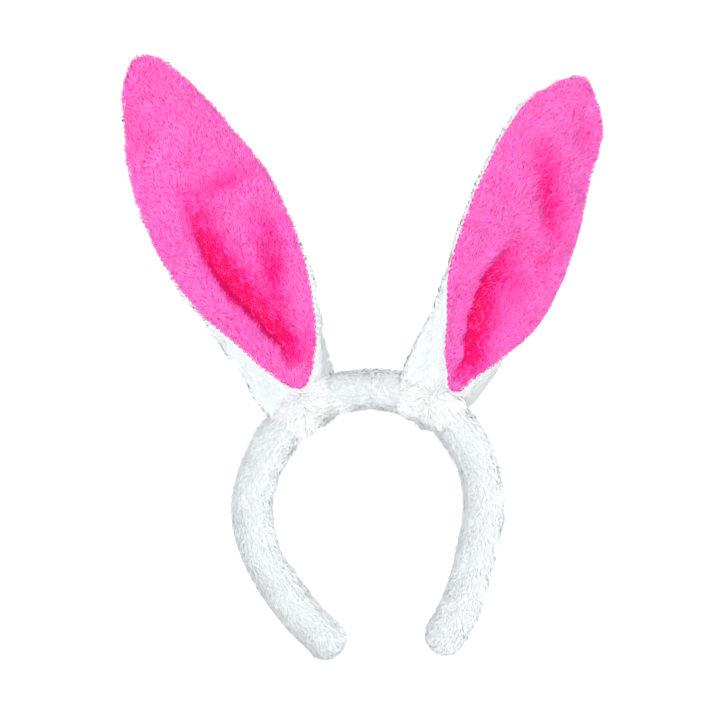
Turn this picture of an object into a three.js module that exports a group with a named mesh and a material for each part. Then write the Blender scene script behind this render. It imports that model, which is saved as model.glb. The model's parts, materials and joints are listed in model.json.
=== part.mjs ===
// Plush rabbit-ear headband: a springy C-shaped band in a plush sleeve, open at the bottom, and two tall plush ears.
// Millimetres. +Z is up, +X runs to the right seen from the front, and the front faces -Y.
// The origin is the centre of the band's inner face at the top of the head opening.
import * as THREE from "three";

// ---------------------------------------------------------------- driving dimensions

const GAP = 0.35; // clearance between touching pieces

// The band's centre line runs from the top down each side as a chain of arcs: [radius, degrees turned].
const BAND_ARCS = {
  left: [[68, 42], [78, 44], [62, 38], [500, 3], [90, 8]],
  right: [[68, 40], [66, 46], [100, 14], [230, 13], [50, 20]],
};
const BAND_LENGTH = { left: 214.5, right: 200.5 }; // from the top to each arm's rounded end
const FLEX_AT = 70; // distance along the band from the top to each arm's flex line
const FLEX_GAP = 1.9; // each stretch stops this far short of the flex line, to leave room to turn
const BAND_STEP = 9; // distance between the sections along the band

const BAND_SIDES = 12;
const ROD_SIDES = 6;
const SLEEVE_RADIUS = 11;
const CINCHED_RADIUS = 9.4; // the sleeve is drawn in under each ear's collar
const CINCH_FULL = 14.4; // it is fully drawn in within this distance of the ear's root
const CINCH_REACH = 24; // and not at all beyond this distance
const PLUSH = 1.6; // thickness of the plush fabric
const CORE_HALF_WIDTH = 5.5;
const CORE_HALF_THICKNESS = 1.1;
const CORE_SHORT_OF_END = 16;
const STRIP_SQUARENESS = 0.5; // 1 gives an oval strip and 0 a square one
const ROUND_END_TURNS = [0, 30, 55, 75, 86]; // degrees round an arm's end at which it has sections
const HOLLOW_FROM = 3.2; // the sleeve is hollow wherever its radius is more than this
const THREAD_RADIUS = 0.45;
const SEAM_TURN = 55; // degrees from the inner side towards the front, where the sleeve's seam runs
const SEAM_THREAD_FROM_COLLAR = 2; // the seam's thread stops this far short of each collar
const SEAM_THREAD_FROM_END = 3; // and this far before an arm's end becomes round
const STITCH_COUNT = 6; // zigzag stitches that close each arm's end
const STITCH_TURN = 15; // degrees round the arm's end from one stitch to the next
const STITCH_SWING = 1.2; // each stitch leans this far to either side

const COLLAR_LENGTH = 26;
const COLLAR_INNER = 11.7;
const COLLAR_OUTER = 13.4;
const COLLAR_BEVEL = 1; // each rim is this much narrower
const COLLAR_BEVEL_LENGTH = 2;
const COLLAR_SIDES = 24;

const EAR_BASE = 15; // height of each ear's lower edge above the band's centre line
const EAR_CORNER = 22; // half the width of the lower edge
const EAR_DROOP = 3; // the lower edge comes this much lower at its corners
const DROOP_FADES_AT = 60;
const FOLD_AT = 118; // height of each ear's fold line
const FOLD_GAP = 3; // each half stops this far short of the fold line
const FILLING_CLEARANCE = 0.9; // beyond the gap, between the filling and the panels
const FILLING_FROM_SEAM = 2.5;
const FILLING_FROM_SIDE = 8.5; // leaves room for the wire along the ear's sides
const FILLING_FROM_TIP = 30;
const WIRE_RADIUS = 0.9;
const WIRE_INSET = 6.3; // from the ear's outline to the wire
const WIRE_BEHIND = 1.4; // the wire lies a little behind the ear's middle plane
const WIRE_LOWEST = 18; // height of the wire's lowest point, which stands further back
const WIRE_LOWEST_BEHIND = 4.5;
const WIRE_ARCH_BEHIND = 0.8;
const WIRE_LEGS_TO_TIP = 22; // the wire's straight legs end this far below the tip
const WIRE_ARCH_TO_TIP = 16; // and its arch comes this close to the tip
const EDGE_THREAD_OFFSET = 0.9; // from the seam's corner, beyond the gap, to the middle of the edge thread
const EDGE_THREAD_FORWARD = 1; // at its lowest and highest points, from the front panel's plane
const EDGE_THREAD_BELOW = 1.6;
const EDGE_THREAD_ABOVE = 1.7;

// Each ear's pattern, by height above the band's centre line:
// [height, seam left, seam right, body left, body right]. The seam joins the front and back panels.
// The body is the back panel's outline, which wraps forward round the sides near the root.
const EARS = {
  left: {
    side: -1,
    rootAt: 41,
    lean: -24.3,
    tiltBack: 3,
    twist: 4,
    pattern: [
      [15, -2, 6, -22, 22],
      [30, -11.5, 17, -24.5, 25.5],
      [50, -20.5, 26, -29.5, 30.5],
      [75, -32, 33, -36, 36],
      [105, -40, 36.5, -41.3, 38],
      [140, -42, 35.5, -42.8, 36.2],
      [175, -37.6, 26.6, -38.2, 27.2],
      [200, -29, 18.8, -29.6, 19.4],
      [220, -21, 10, -21.6, 10.6],
      [230, -14, 3.4, -14.5, 4],
      [235, -8.5, -3.5, -9, -3],
    ],
  },
  right: {
    side: 1,
    rootAt: 34.5,
    lean: 25.2,
    tiltBack: 6,
    twist: 32,
    pattern: [
      [15, 2, 8.5, -23, 25],
      [30, -7, 18, -23.3, 31.5],
      [50, -15, 35, -24.3, 39.7],
      [75, -25, 48, -27, 50.5],
      [105, -30, 50.2, -31.5, 51.4],
      [140, -32, 46, -33, 46.7],
      [170, -30, 38, -31, 38.7],
      [190, -25, 33.4, -25.8, 34],
      [205, -15, 26, -15.6, 26.6],
      [215, -6, 15, -6.5, 15.5],
      [220, 0, 6.5, -0.5, 7],
    ],
  },
};

// How far the ear's body stands in front of and behind its middle plane, and how far the front panel dips
// between its seams (less than 0 where it is padded and stands proud), by height.
const EAR_DEPTHS = [
  [15, 11, 11, 1],
  [30, 10.5, 11, 4],
  [50, 8.5, 10.5, 6],
  [80, 5.5, 9.5, 4],
  [110, 4, 9, 0],
  [145, 3.5, 8.5, -3.5],
  [190, 3, 7.5, -3.5],
  [215, 3, 5.5, -2],
  [235, 2.5, 3.5, -0.5],
];

const LOWER_HEIGHTS = [15, 21, 29, 40, 54, 70, 88, FOLD_AT - FOLD_GAP];
const UPPER_FRACTIONS = [0, 0.18, 0.36, 0.54, 0.7, 0.82, 0.9, 0.955, 0.985, 1];

const FRONT_FRACTIONS = [0, 0.06, 0.2, 0.35, 0.5, 0.65, 0.8, 0.94, 1]; // of the way across the front panel
const BACK_SPANS = 10;
const FILLING_SPANS = 5;

const WHITE = 0xebf0f2;
const PINK = 0xfa62b8;
const CORE_GREY = 0xd8d8d4;
const WADDING_WHITE = 0xf4f4f0;
const STEEL = 0xb8bcc0;

// ---------------------------------------------------------------- helpers

const { degToRad: radians, lerp, smoothstep, clamp } = THREE.MathUtils;
const Y_AXIS = new THREE.Vector3(0, 1, 0);
const Z_AXIS = new THREE.Vector3(0, 0, 1);

const part = new THREE.Group();

function add(name, geometry, color, group = part, roughness = 0.95, metalness = 0) {
  const mesh = new THREE.Mesh(geometry, new THREE.MeshStandardMaterial({ color, roughness, metalness }));
  mesh.name = name;
  group.add(mesh);
  return mesh;
}

function signedVolume(positions, faces) {
  const corner = (index) => new THREE.Vector3().fromArray(positions, index * 3);
  let total = 0;
  for (let i = 0; i < faces.length; i += 3) {
    total += corner(faces[i]).dot(corner(faces[i + 1]).cross(corner(faces[i + 2])));
  }
  return total / 6;
}

// A closed body through rings that all have the same even number of points. An open chain of rings is closed at each
// end by strips across the ring, and a closed chain joins its last ring to its first.
function loft(rings, closedChain = false) {
  const size = rings[0].length;
  const positions = rings.flat().flatMap((point) => point.toArray());
  const faces = [];
  const quad = (a, b, c, d) => faces.push(a, b, c, a, c, d);
  const spans = closedChain ? rings.length : rings.length - 1;
  for (let i = 0; i < spans; i += 1) {
    const here = i * size;
    const next = ((i + 1) % rings.length) * size;
    for (let j = 0; j < size; j += 1) {
      const k = (j + 1) % size;
      quad(here + j, here + k, next + k, next + j);
    }
  }
  if (!closedChain) {
    const end = (rings.length - 1) * size;
    for (let j = 0; j < size / 2 - 1; j += 1) {
      quad(j, size - 1 - j, size - 2 - j, j + 1);
      quad(end + j, end + j + 1, end + size - 2 - j, end + size - 1 - j);
    }
  }
  if (signedVolume(positions, faces) < 0) {
    faces.reverse();
  }
  const geometry = new THREE.BufferGeometry();
  geometry.setAttribute("position", new THREE.Float32BufferAttribute(positions, 3));
  geometry.setIndex(faces);
  geometry.computeVertexNormals();
  return geometry;
}

// Evenly spaced points on a smooth curve through a few points.
function smooth(points, steps) {
  return new THREE.CatmullRomCurve3(points).getSpacedPoints(steps);
}

// A round rod from point to point. Its route never runs along the reference direction.
function rod(points, radius, reference = Y_AXIS) {
  const rings = points.map((point, i) => {
    const before = points[Math.max(0, i - 1)];
    const after = points[Math.min(points.length - 1, i + 1)];
    const tangent = after.clone().sub(before).normalize();
    const across = tangent.clone().cross(reference).normalize();
    const up = tangent.clone().cross(across);
    return Array.from({ length: ROD_SIDES }, (_, j) => {
      const turn = (j * 2 * Math.PI) / ROD_SIDES;
      return point
        .clone()
        .addScaledVector(across, radius * Math.cos(turn))
        .addScaledVector(up, radius * Math.sin(turn));
    });
  });
  return loft(rings);
}

// A function that reads a table smoothly: it takes a value of the first column and returns the other columns.
function smoothTable(rows) {
  const columns = rows[0].length - 1;
  const heights = rows.map((row) => row[0]);
  const values = rows.flatMap((row) => row.slice(1));
  const interpolant = new THREE.CubicInterpolant(heights, values, columns, new Float64Array(columns));
  return (height) => Array.from(interpolant.evaluate(height));
}

// Evenly spread numbers from a to b, no further apart than the step.
function spread(a, b, step) {
  const count = Math.max(1, Math.ceil(Math.abs(b - a) / step));
  return Array.from({ length: count + 1 }, (_, i) => lerp(a, b, i / count));
}

// ---------------------------------------------------------------- band

const halfStep = BAND_STEP / 2;
const firstRadius = BAND_ARCS.left[0][0];
const firstSweep = halfStep / firstRadius;
const FLAT = Math.cos(Math.PI / BAND_SIDES); // from a section's centre to its flats, as a fraction of its radius

// The height of the centre line at the top puts the sleeve's inner flat at z = 0.
const TOP = SLEEVE_RADIUS * FLAT * Math.cos(firstSweep) + firstRadius * (1 - Math.cos(firstSweep));

// The centre, outward normal and tangent (towards +X) of the band at a distance from the top, negative to the left.
function bandStation(distance) {
  const side = distance < 0 ? -1 : 1;
  let left = Math.abs(distance);
  let [across, down, heading] = [0, 0, 0];
  for (const [radius, degrees] of BAND_ARCS[side < 0 ? "left" : "right"]) {
    const sweep = Math.min(left / radius, radians(degrees));
    across += radius * (Math.sin(heading + sweep) - Math.sin(heading));
    down += radius * (Math.cos(heading) - Math.cos(heading + sweep));
    heading += sweep;
    left -= radius * sweep;
  }
  across += left * Math.cos(heading);
  down += left * Math.sin(heading);
  return {
    centre: new THREE.Vector3(side * across, 0, TOP - down),
    normal: new THREE.Vector3(side * Math.sin(heading), 0, Math.cos(heading)),
    tangent: new THREE.Vector3(Math.cos(heading), 0, -side * Math.sin(heading)),
  };
}

const endOf = (side) => (side < 0 ? -BAND_LENGTH.left : BAND_LENGTH.right);

// The sleeve's outer radius: drawn in under the collars, and round at the arms' ends.
function sleeveRadius(distance) {
  let radius = SLEEVE_RADIUS;
  for (const ear of Object.values(EARS)) {
    const away = Math.abs(distance - ear.side * ear.rootAt);
    const drawn = 1 - smoothstep(away, CINCH_FULL, CINCH_REACH);
    radius -= (SLEEVE_RADIUS - CINCHED_RADIUS) * drawn;
  }
  const toEnd = Math.abs(endOf(Math.sign(distance) || 1)) - Math.abs(distance);
  if (toEnd < radius) {
    const past = 1 - toEnd / radius;
    radius *= Math.sqrt(Math.max(0, 1 - past * past));
  }
  return radius;
}

// A section of the band: out is measured along the outward normal and back along +Y.
function bandRing(distance, outline) {
  const { centre, normal } = bandStation(distance);
  return Array.from({ length: BAND_SIDES }, (_, i) => {
    const turn = ((i + 0.5) * 2 * Math.PI) / BAND_SIDES;
    const [out, back] = outline(Math.cos(turn), Math.sin(turn));
    return centre.clone().addScaledVector(normal, out).addScaledVector(Y_AXIS, back);
  });
}

const round = (radius) => (cosine, sine) => [radius * cosine, radius * sine];

// The core strip's rounded outline, grown all round by a clearance.
const strip = (grow) => (cosine, sine) => [
  (CORE_HALF_THICKNESS + grow) * Math.sign(cosine) * Math.abs(cosine) ** STRIP_SQUARENESS,
  (CORE_HALF_WIDTH + grow) * sine,
];

// The distances of the sections of one stretch of the band.
function stretchDistances(stretch) {
  if (stretch === 0) {
    const half = spread(halfStep, FLEX_AT - FLEX_GAP, BAND_STEP);
    return [...half.map((d) => -d).reverse(), ...half];
  }
  return spread(stretch * (FLEX_AT + FLEX_GAP), endOf(stretch), BAND_STEP);
}

// The sections of an arm's sleeve: the last ones are closer together, where its end is round.
function armDistances(stretch, end) {
  const roundFrom = end - SLEEVE_RADIUS;
  const straight = stretchDistances(stretch).filter((d) => Math.abs(d) < roundFrom - 2);
  const rounded = ROUND_END_TURNS.map((turn) => stretch * (roundFrom + SLEEVE_RADIUS * Math.sin(radians(turn))));
  return [...straight, ...rounded];
}

function sleeveGeometry(stretch) {
  const outer = (d) => bandRing(d, round(sleeveRadius(d)));
  const inner = (d) => bandRing(d, round(sleeveRadius(d) - PLUSH));
  if (stretch === 0) {
    const distances = stretchDistances(0);
    return loft([...distances.map(outer), ...distances.map(inner).reverse()], true);
  }
  const end = Math.abs(endOf(stretch));
  const outside = armDistances(stretch, end);
  const inside = outside.filter((d) => sleeveRadius(d) > HOLLOW_FROM);
  return loft([...inside.map(inner).reverse(), ...outside.map(outer)]);
}

function waddingGeometry(stretch) {
  const outer = (d) => bandRing(d, round(sleeveRadius(d) - PLUSH - GAP));
  const inner = (d) => bandRing(d, strip(GAP));
  const limit = Math.abs(endOf(stretch)) - SLEEVE_RADIUS;
  const distances = stretchDistances(stretch).filter((d) => Math.abs(d) < limit);
  return loft([...distances.map(outer), ...distances.map(inner).reverse()], true);
}

function coreGeometry(stretch) {
  const limit = Math.abs(endOf(stretch)) - CORE_SHORT_OF_END;
  const distances = stretchDistances(stretch).filter((d) => Math.abs(d) < limit);
  return loft(distances.map((d) => bandRing(d, strip(0))));
}

// A point just outside the sleeve, turned from its inner side towards the front.
function outsideSleeve(distance, turn, clearance) {
  const { centre, normal } = bandStation(distance);
  const reach = sleeveRadius(distance) + clearance;
  return centre
    .clone()
    .addScaledVector(normal, -reach * Math.cos(radians(turn)))
    .addScaledVector(Y_AXIS, -reach * Math.sin(radians(turn)));
}

// The seam's thread: on the crown it runs only between the two collars, which cover the rest.
function seamThread(from, to) {
  const distances = spread(from, to, BAND_STEP);
  const points = distances.map((d) => outsideSleeve(d, SEAM_TURN, GAP + THREAD_RADIUS));
  return rod(points, THREAD_RADIUS);
}

// A zigzag of closing stitches across an arm's rounded end.
function endStitches(side) {
  const { centre, normal, tangent } = bandStation(endOf(side) - side * SLEEVE_RADIUS);
  const along = tangent.clone().multiplyScalar(side);
  const reach = SLEEVE_RADIUS + 2 * GAP + THREAD_RADIUS;
  const points = [];
  for (let i = 0; i <= STITCH_COUNT; i += 1) {
    const turn = radians((i - STITCH_COUNT / 2) * STITCH_TURN);
    const zigzag = i % 2 === 0 ? STITCH_SWING : -STITCH_SWING;
    const height = Math.sqrt(reach * reach - zigzag * zigzag);
    points.push(
      centre
        .clone()
        .addScaledVector(along, height * Math.cos(turn))
        .addScaledVector(Y_AXIS, height * Math.sin(turn))
        .addScaledVector(normal, zigzag),
    );
  }
  return rod(smooth(points, 3 * STITCH_COUNT), THREAD_RADIUS, along);
}

const STRETCHES = { left_arm: -1, crown: 0, right_arm: 1 };
for (const [place, stretch] of Object.entries(STRETCHES)) {
  add(`band_core_${place}`, coreGeometry(stretch), CORE_GREY, part, 0.5);
  add(`band_wadding_${place}`, waddingGeometry(stretch), WADDING_WHITE);
  add(`band_sleeve_${place}`, sleeveGeometry(stretch), WHITE);
}

const collarReach = COLLAR_LENGTH / 2 + SEAM_THREAD_FROM_COLLAR;
add(
  "sleeve_seam_thread_crown",
  seamThread(-EARS.left.rootAt + collarReach, EARS.right.rootAt - collarReach),
  WHITE,
);
for (const [place, side] of [["left", -1], ["right", 1]]) {
  const from = side * (FLEX_AT + FLEX_GAP);
  const to = endOf(side) - side * (SLEEVE_RADIUS + SEAM_THREAD_FROM_END);
  add(`sleeve_seam_thread_${place}_arm`, seamThread(from, to), WHITE);
  add(`end_stitches_${place}`, endStitches(side), WHITE);
}

// ---------------------------------------------------------------- ears

const depthsAt = smoothTable(EAR_DEPTHS);
const depthsTop = EAR_DEPTHS.at(-1)[0];

function makeEar(place, ear) {
  const patternAt = smoothTable(ear.pattern);
  const tip = ear.pattern.at(-1)[0];

  // Everything about the ear's section at a height, in its own frame: x to the right, y back, z up the ear.
  function sectionAt(height) {
    const [seamLeft, seamRight, bodyLeft, bodyRight] = patternAt(height);
    const [front, back, dip] = depthsAt(height * (depthsTop / tip));
    const middle = (bodyLeft + bodyRight) / 2;
    const half = (bodyRight - bodyLeft) / 2;
    const sweep = (seam) => Math.acos(clamp((seam - middle) / half, -1, 1));
    return { height, seamLeft, seamRight, front, back, dip, middle, half, sweep };
  }

  // The ear's lower edge follows the band, so points near the root come lower towards its corners.
  function place3d(x, y, height) {
    const fade = 1 - smoothstep(height, EAR_BASE, DROOP_FADES_AT);
    return new THREE.Vector3(x, y, height - EAR_DROOP * fade * (x / EAR_CORNER) ** 2);
  }

  // The body's outline at a turn, where 0 is the right side and 90 degrees is the back.
  function bodyPoint(section, turn, inset) {
    const depth = Math.sin(turn) > 0 ? section.back : section.front;
    return [
      section.middle + (section.half - inset) * Math.cos(turn),
      (depth - inset) * Math.sin(turn),
    ];
  }

  const seamDepth = (section, seam) => -section.front * Math.sin(section.sweep(seam));

  // The front panel's outer face, a fraction of the way from its left seam to its right seam.
  function frontPoint(section, fraction) {
    const x = lerp(section.seamLeft, section.seamRight, fraction);
    const left = seamDepth(section, section.seamLeft);
    const right = seamDepth(section, section.seamRight);
    const dip = section.dip * Math.sin(Math.PI * fraction) ** 1.5;
    return [x, lerp(left, right, fraction) - PLUSH - GAP + dip];
  }

  function frontRing(height) {
    const section = sectionAt(height);
    const outer = FRONT_FRACTIONS.map((fraction) => frontPoint(section, fraction));
    const inner = outer.map(([x, y]) => [x, y + PLUSH]).reverse();
    return [...outer, ...inner].map(([x, y]) => place3d(x, y, height));
  }

  function backRing(height) {
    const section = sectionAt(height);
    const from = -section.sweep(section.seamRight);
    const to = 2 * Math.PI - section.sweep(section.seamLeft);
    const turns = Array.from({ length: BACK_SPANS + 1 }, (_, i) => lerp(from, to, i / BACK_SPANS));
    const outer = turns.map((turn) => bodyPoint(section, turn, 0));
    const inner = turns.map((turn) => bodyPoint(section, turn, PLUSH)).reverse();
    return [...outer, ...inner].map(([x, y]) => place3d(x, y, height));
  }

  // The filling keeps clear of both panels and of the wire along the edge.
  function fillingRing(height) {
    const section = sectionAt(height);
    const room = section.half - FILLING_FROM_SIDE;
    const from = Math.max(section.seamLeft + FILLING_FROM_SEAM, section.middle - room);
    const to = Math.min(section.seamRight - FILLING_FROM_SEAM, section.middle + room);
    const span = section.seamRight - section.seamLeft;
    const near = [];
    const far = [];
    for (let i = 0; i <= FILLING_SPANS; i += 1) {
      const x = lerp(from, to, i / FILLING_SPANS);
      const front = frontPoint(section, (x - section.seamLeft) / span)[1] + PLUSH + GAP;
      const reach = (x - section.middle) / (section.half - PLUSH);
      const back = (section.back - PLUSH) * Math.sqrt(1 - reach * reach) - GAP;
      near.push([x, front + FILLING_CLEARANCE]);
      far.push([x, back - FILLING_CLEARANCE]);
    }
    return [...near, ...far.reverse()].map(([x, y]) => place3d(x, y, height));
  }

  function wirePoint(height, side) {
    const section = sectionAt(height);
    return place3d(section.middle + side * (section.half - WIRE_INSET), WIRE_BEHIND, height);
  }

  function threadPoint(height, side) {
    const section = sectionAt(height);
    const seam = side < 0 ? section.seamLeft : section.seamRight;
    const off = GAP + EDGE_THREAD_OFFSET;
    return place3d(seam + side * off, seamDepth(section, seam) - off, height);
  }

  const lower = LOWER_HEIGHTS;
  const upper = UPPER_FRACTIONS.map((fraction) => lerp(FOLD_AT + FOLD_GAP, tip, fraction));
  const fillingTop = upper.filter((height) => height < tip - FILLING_FROM_TIP);
  const wireTop = upper.filter((height) => height < tip - WIRE_LEGS_TO_TIP);
  const group = new THREE.Group();
  group.position.copy(bandStation(ear.side * ear.rootAt).centre);
  group.rotation.set(radians(-ear.tiltBack), radians(ear.lean), radians(ear.twist), "YXZ");
  part.add(group);

  const name = (piece) => `${place}_ear_${piece}`;
  add(name("front_lower"), loft(lower.map(frontRing)), PINK, group);
  add(name("front_upper"), loft(upper.map(frontRing)), PINK, group);
  add(name("back_lower"), loft(lower.map(backRing)), WHITE, group);
  add(name("back_upper"), loft(upper.map(backRing)), WHITE, group);
  add(name("filling_lower"), loft(lower.slice(2).map(fillingRing)), WHITE, group);
  add(name("filling_upper"), loft(fillingTop.map(fillingRing)), WHITE, group);

  // Each half of the wire frame is one bent rod: a U up both sides from the root, and an arch round the tip.
  const legs = lower.slice(1);
  const lowerWire = [
    ...legs.map((height) => wirePoint(height, -1)).reverse(),
    place3d(sectionAt(WIRE_LOWEST).middle, WIRE_LOWEST_BEHIND, WIRE_LOWEST),
    ...legs.map((height) => wirePoint(height, 1)),
  ];
  const upperWire = [
    ...wireTop.map((height) => wirePoint(height, -1)),
    place3d(sectionAt(tip - WIRE_ARCH_TO_TIP).middle, WIRE_ARCH_BEHIND, tip - WIRE_ARCH_TO_TIP),
    ...wireTop.map((height) => wirePoint(height, 1)).reverse(),
  ];
  add(name("wire_lower"), rod(smooth(lowerWire, 24), WIRE_RADIUS), STEEL, group, 0.35, 1);
  add(name("wire_upper"), rod(smooth(upperWire, 28), WIRE_RADIUS), STEEL, group, 0.35, 1);

  const rootMiddle = (threadPoint(EAR_BASE, -1).x + threadPoint(EAR_BASE, 1).x) / 2;
  const rootFront = seamDepth(sectionAt(EAR_BASE), sectionAt(EAR_BASE).middle) - EDGE_THREAD_FORWARD;
  const tipMiddle = sectionAt(tip).middle;
  const tipFront = seamDepth(sectionAt(tip), tipMiddle) - EDGE_THREAD_FORWARD;
  const lowerThread = [
    ...lower.map((height) => threadPoint(height, -1)).reverse(),
    place3d(rootMiddle, rootFront, EAR_BASE - EDGE_THREAD_BELOW),
    ...lower.map((height) => threadPoint(height, 1)),
  ];
  const upperThread = [
    ...upper.map((height) => threadPoint(height, -1)),
    place3d(tipMiddle, tipFront, tip + EDGE_THREAD_ABOVE),
    ...upper.map((height) => threadPoint(height, 1)).reverse(),
  ];
  add(name("edge_thread_lower"), rod(lowerThread, THREAD_RADIUS), WHITE, group);
  add(name("edge_thread_upper"), rod(upperThread, THREAD_RADIUS), WHITE, group);
}

// The collar is a short ring of plush round the band, bound on by a loop of thread. The ear turns on it.
function makeCollar(place, ear) {
  const { centre, tangent } = bandStation(ear.side * ear.rootAt);
  const half = COLLAR_LENGTH / 2;
  const profile = [
    [COLLAR_INNER, -half],
    [COLLAR_OUTER - COLLAR_BEVEL, -half],
    [COLLAR_OUTER, -half + COLLAR_BEVEL_LENGTH],
    [COLLAR_OUTER, half - COLLAR_BEVEL_LENGTH],
    [COLLAR_OUTER - COLLAR_BEVEL, half],
    [COLLAR_INNER, half],
    [COLLAR_INNER, -half],
  ].map(([radius, along]) => new THREE.Vector2(radius, along));
  const collar = add(`${place}_ear_collar`, new THREE.LatheGeometry(profile, COLLAR_SIDES), WHITE);
  collar.position.copy(centre);
  collar.quaternion.setFromUnitVectors(Y_AXIS, tangent);

  const loopRadius = COLLAR_OUTER + GAP + THREAD_RADIUS;
  const loop = new THREE.TorusGeometry(loopRadius, THREAD_RADIUS, ROD_SIDES, COLLAR_SIDES);
  const binding = add(`${place}_ear_binding_thread`, loop, WHITE);
  binding.position.copy(centre);
  binding.quaternion.setFromUnitVectors(Z_AXIS, tangent);
}

for (const [place, ear] of Object.entries(EARS)) {
  makeEar(place, ear);
  makeCollar(place, ear);
}

export default part;
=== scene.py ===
"""Looks of the plush rabbit-ear headband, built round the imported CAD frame. Blender units are metres."""

import json
import math

import bpy
import numpy as np
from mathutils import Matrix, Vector, kdtree


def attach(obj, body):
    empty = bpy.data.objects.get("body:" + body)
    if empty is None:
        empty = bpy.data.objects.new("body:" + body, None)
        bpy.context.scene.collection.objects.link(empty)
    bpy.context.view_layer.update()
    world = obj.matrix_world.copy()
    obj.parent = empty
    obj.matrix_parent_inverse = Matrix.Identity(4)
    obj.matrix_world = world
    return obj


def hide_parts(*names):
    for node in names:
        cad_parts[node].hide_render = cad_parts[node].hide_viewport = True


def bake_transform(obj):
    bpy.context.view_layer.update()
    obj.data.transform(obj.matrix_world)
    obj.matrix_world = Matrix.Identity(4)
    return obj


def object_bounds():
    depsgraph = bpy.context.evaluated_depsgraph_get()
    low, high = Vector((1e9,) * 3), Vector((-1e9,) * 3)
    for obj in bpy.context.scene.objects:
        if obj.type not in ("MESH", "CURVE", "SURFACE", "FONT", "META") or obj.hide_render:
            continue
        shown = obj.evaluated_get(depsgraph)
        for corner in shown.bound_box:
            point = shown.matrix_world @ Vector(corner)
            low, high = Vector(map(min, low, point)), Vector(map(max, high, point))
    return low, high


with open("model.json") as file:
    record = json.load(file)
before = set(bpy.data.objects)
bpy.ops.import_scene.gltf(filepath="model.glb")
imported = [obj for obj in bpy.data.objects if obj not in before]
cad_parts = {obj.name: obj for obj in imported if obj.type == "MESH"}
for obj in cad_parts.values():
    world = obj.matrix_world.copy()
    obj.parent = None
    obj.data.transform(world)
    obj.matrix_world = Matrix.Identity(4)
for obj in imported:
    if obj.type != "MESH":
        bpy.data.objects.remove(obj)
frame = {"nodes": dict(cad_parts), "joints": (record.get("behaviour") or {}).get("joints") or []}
cad_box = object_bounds()
JOINTS = {joint["name"]: joint for joint in frame["joints"]}
MM = 0.001

# ------------------------ driving dimensions, in millimetres as in the CAD

# The band's centre line from the top down each side, left -1 and right 1: radius and degrees of each arc.
BAND_ARCS = {
    -1: ((68, 42), (78, 44), (62, 38), (500, 3), (90, 8)),
    1: ((68, 40), (66, 46), (100, 14), (230, 13), (50, 20)),
}
BAND_LENGTH = {-1: 214.5, 1: 200.5}  # from the top to each arm's rounded end
FLEX_AT = 70  # distance along the band from the top to each arm's flex line
FLEX_REACH = 24  # the distance to each side of an arm's flex line at which flex_ends takes its points
CLOTH_RADIUS = 10.7  # the sleeve's backing cloth, under its pile
CINCHED_RADIUS = 10.1  # under the ears' wraps
SEAM_TURN = 55  # degrees from the inner side towards the front, where the sleeve's seam runs
PARTING_HALF_WIDTH = 0.9  # of the bare line along the seam
PLUSH = 1.6  # how far the ear's front stands forward of its seams
EAR_BASE = 15  # height of the CAD ears' lower edge above the band's centre line
EAR_CORNER = 22  # half the width of that edge
EAR_DROOP = 3  # the lower edge comes this much lower at its corners
DROOP_FADES_AT = 60
FOLD_AT = 118  # height of each ear's fold line
FOLD_BEHIND = 1.5  # the fold's axis lies this far behind the ear's middle plane
WRAP_RADIUS = 12.9
WRAP_INNER_RADIUS = 11.3  # on the band's inner side
WRAP_HALF_LENGTH = 14.5
WRAP_SPREAD = 5  # how much longer it is towards the ear, at each end
WRAP_RISE = 1.5  # and how much thicker
BACKING_THICKNESS = 1.2  # of the ears' cloth

# By height above the band's centre line: seam left, seam right, body left, body right.
PATTERNS = {
    "left": (
        (4, 0.5, 1.5, -21, 20), (11.5, 1, 2, -23, 21.5), (15, -2, 6, -23.5, 22), (30, -11.5, 17, -25.5, 25.5),
        (50, -20.5, 26, -30, 30.5), (75, -32, 33, -36.3, 36), (105, -40, 36.5, -41.3, 38),
        (140, -42, 35.5, -42.8, 36.2), (175, -37.6, 26.6, -38.2, 27.2), (200, -29, 18.8, -29.6, 19.4),
        (220, -21, 10, -21.6, 10.6), (230, -14, 3.4, -14.5, 4), (235, -8.5, -3.5, -9, -3),
    ),
    "right": (
        (4, 4, 5, -21, 23), (11.5, 4, 5, -22.5, 25.5), (15, 2, 8.5, -23, 27), (30, -7, 18, -23.3, 33),
        (50, -15, 33.6, -24.3, 39), (75, -25, 46.6, -27, 49.2), (105, -30, 50.2, -31.5, 51.4),
        (140, -32, 46, -33, 46.7), (170, -30, 38, -31, 38.7), (190, -25, 33.4, -25.8, 34),
        (205, -15, 26, -15.6, 26.6), (215, -6, 15, -6.5, 15.5), (220, 0, 6.5, -0.5, 7),
    ),
}
# By height, on an ear 235 tall: how far the body stands in front of and behind its middle plane, and how far
# the front dips between its seams, less than 0 where it stands proud.
DEPTHS = (
    (4, 10, 10, 0), (15, 11, 11, 1), (30, 10.5, 11, 4), (50, 8.5, 10.5, 6), (80, 5.5, 9.5, 4), (110, 4, 9, 0),
    (145, 3.5, 8.5, -3.5), (190, 3, 7.5, -3.5), (215, 3, 5.5, -2), (235, 2.5, 3.5, -0.5),
)

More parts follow.
